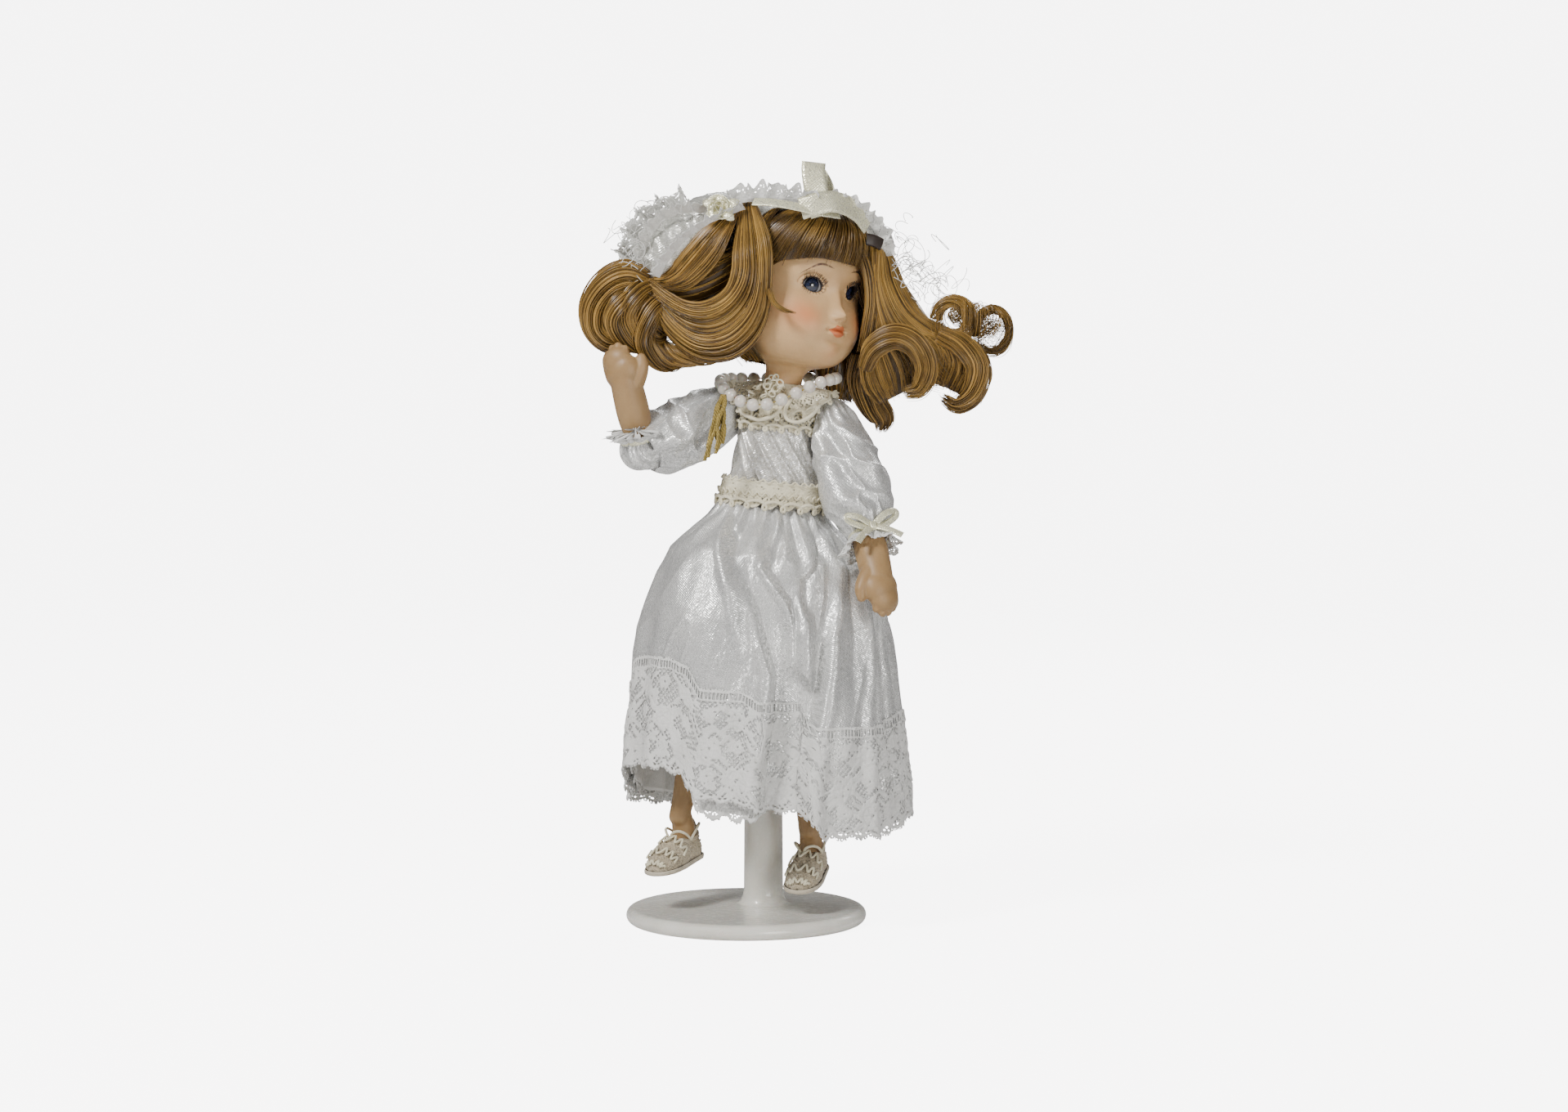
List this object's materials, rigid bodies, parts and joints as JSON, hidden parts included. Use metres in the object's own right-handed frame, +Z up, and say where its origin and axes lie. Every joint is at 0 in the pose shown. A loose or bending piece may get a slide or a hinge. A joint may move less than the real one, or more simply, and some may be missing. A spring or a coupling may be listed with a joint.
{
  "type": "porcelain doll",
  "caption": "Porcelain doll in a satin and lace gown with bonnet and pearls, jointed head and limbs, straddling a round display stand.",
  "frame": {"origin": "centre of the flat underside of the stand's round base", "axes": "+Z up along the stand's column, the doll's front towards -Y"},
  "size_m": [0.167, 0.1029, 0.2934],
  "materials": {
    "stand_white": "gloss",
    "cotton": "matt",
    "porcelain": "bisque",
    "satin": "satin",
    "lace": "matt",
    "hair": "satin",
    "steel": "satin",
    "pearl": "pearl",
    "gold_thread": "metallic",
    "eye_glass": "gloss",
    "lash": "matt",
    "ribbon": "satin",
    "shoe_lace": "matt"
  },
  "bodies": {
    "stand": {"stand_base": "stand_white"},
    "rod": {"stand_rod": "stand_white"},
    "saddle": {"stand_saddle": "stand_white"},
    "torso": {"body_cloth": "cotton", "body_stuffing": "cotton", "shoulder_plate": "porcelain", "neck_washer": "steel", "neck_spring": "steel", "bodice": "satin", "collar_lace": "lace", "waist_lace": "lace", "skirt": "satin", "skirt_lace": "lace", "underskirt": "lace", "necklace_pearls": "pearl", "necklace_thread": "gold_thread", "gold_tassel": "gold_thread"},
    "head": {"head": "porcelain", "neck_bolt": "steel", "neck_nut": "steel", "eye_left": "eye_glass", "eye_right": "eye_glass", "lashes": "lash", "wig_cap": "cotton", "hair_fringe": "hair", "hair_back": "hair", "hair_left": "hair", "hair_right": "hair", "hair_tail": "hair", "bonnet_crown": "satin", "bonnet_brim": "lace", "bonnet_bow": "ribbon", "bonnet_rosette": "lace"},
    "left_arm": {"left_upper_arm": "cotton", "left_arm_wire": "steel", "left_sleeve": "satin"},
    "left_hand": {"left_forearm": "porcelain", "left_cuff_lace": "lace", "left_cuff_ribbon": "ribbon"},
    "left_thigh": {"left_upper_leg": "cotton"},
    "left_foot": {"left_lower_leg": "porcelain", "left_leg_tie": "cotton", "left_shoe_sole": "shoe_lace", "left_shoe_upper": "shoe_lace", "left_shoe_strap": "shoe_lace"},
    "right_arm": {"right_upper_arm": "cotton", "right_arm_wire": "steel", "right_sleeve": "satin"},
    "right_hand": {"right_forearm": "porcelain", "right_cuff_lace": "lace", "right_cuff_ribbon": "ribbon"},
    "right_thigh": {"right_upper_leg": "cotton"},
    "right_foot": {"right_lower_leg": "porcelain", "right_leg_tie": "cotton", "right_shoe_sole": "shoe_lace", "right_shoe_upper": "shoe_lace", "right_shoe_strap": "shoe_lace"}
  },
  "joints": [
    {"name": "stand_height", "type": "slide", "parent": "stand", "child": "rod", "axis": [0, 0, 1], "range_m": [-0.005, 0.03]},
    {"name": "stand_swivel", "type": "hinge", "parent": "rod", "child": "saddle", "pos_m": [0.0067, 0.008, 0.11], "axis": [0, 0, 1], "continuous": true},
    {"name": "doll_lift", "type": "slide", "parent": "saddle", "child": "torso", "axis": [0, 0, 1], "range_m": [0, 0.14]},
    {"name": "head_turn", "type": "hinge", "parent": "torso", "child": "head", "pos_m": [0.01484, 0.006, 0.21114], "axis": [0.1219, 0, 0.9925], "range_deg": [-100, 34], "deforming": ["hair_tail"]},
    {"name": "left_shoulder", "type": "hinge", "parent": "torso", "child": "left_arm", "pos_m": [0.03291, 0.0015, 0.19657], "axis": [-0.969, 0.225, 0.1018], "range_deg": [0, 60]},
    {"name": "left_elbow", "type": "hinge", "parent": "left_arm", "child": "left_hand", "pos_m": [0.04544, -0.01292, 0.15917], "axis": [-0.8418, 0.3451, -0.4152], "range_deg": [-12, 70]},
    {"name": "left_hip", "type": "hinge", "parent": "torso", "child": "left_thigh", "pos_m": [0.01845, 0.00296, 0.11966], "axis": [-0.969, 0.225, 0.1018], "range_deg": [-6, 10]},
    {"name": "left_knee", "type": "hinge", "parent": "left_thigh", "child": "left_foot", "pos_m": [0.0214, -0.0055, 0.078], "axis": [0.969, -0.225, -0.1018], "range_deg": [0, 30]},
    {"name": "right_shoulder", "type": "hinge", "parent": "torso", "child": "right_arm", "pos_m": [-0.00585, 0.0105, 0.20064], "axis": [-0.969, 0.225, 0.1018], "range_deg": [-70, 10]},
    {"name": "right_elbow", "type": "hinge", "parent": "right_arm", "child": "right_hand", "pos_m": [-0.03995, -0.00805, 0.1846], "axis": [-0.5142, 0.8508, 0.1089], "range_deg": [-85, 0]},
    {"name": "right_hip", "type": "hinge", "parent": "torso", "child": "right_thigh", "pos_m": [-0.00771, 0.00904, 0.12241], "axis": [-0.969, 0.225, 0.1018], "range_deg": [-6, 10]},
    {"name": "right_knee", "type": "hinge", "parent": "right_thigh", "child": "right_foot", "pos_m": [-0.0165, 0.0035, 0.082], "axis": [0.969, -0.225, -0.1018], "range_deg": [0, 30]}
  ]
}
